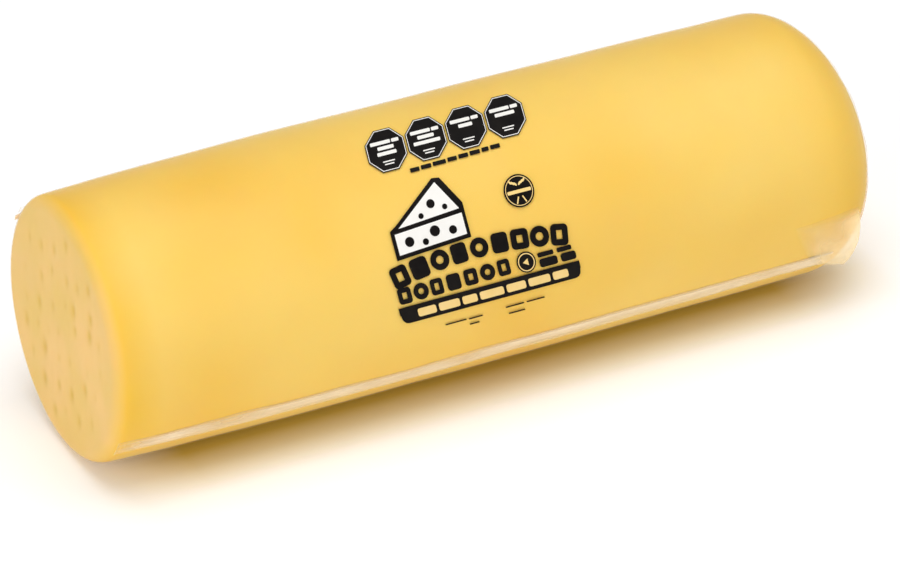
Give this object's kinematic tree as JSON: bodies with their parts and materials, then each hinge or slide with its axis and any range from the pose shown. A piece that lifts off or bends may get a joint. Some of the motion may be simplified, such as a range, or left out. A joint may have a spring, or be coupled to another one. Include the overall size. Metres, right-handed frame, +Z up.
{
  "type": "provolone cheese",
  "caption": "Long round provolone log lying on its side, vacuum sealed in a clear shrink bag with folded side seams and dark print.",
  "frame": {"origin": "middle of the pack's footprint, on the surface it lies on", "axes": "+X along the log from the flat cut end to the bulging end, +Z up, -Y the printed side"},
  "size_m": [0.3852, 0.121, 0.1187],
  "materials": {
    "cheese": "smooth golden cheese under tight clear film",
    "film": "clear, slightly milky shrink film, glossy",
    "ink": "dark print on the film",
    "pale_ink": "pale print on the film"
  },
  "bodies": {
    "root": {"sealed_log": "cheese"}
  },
  "joints": []
}
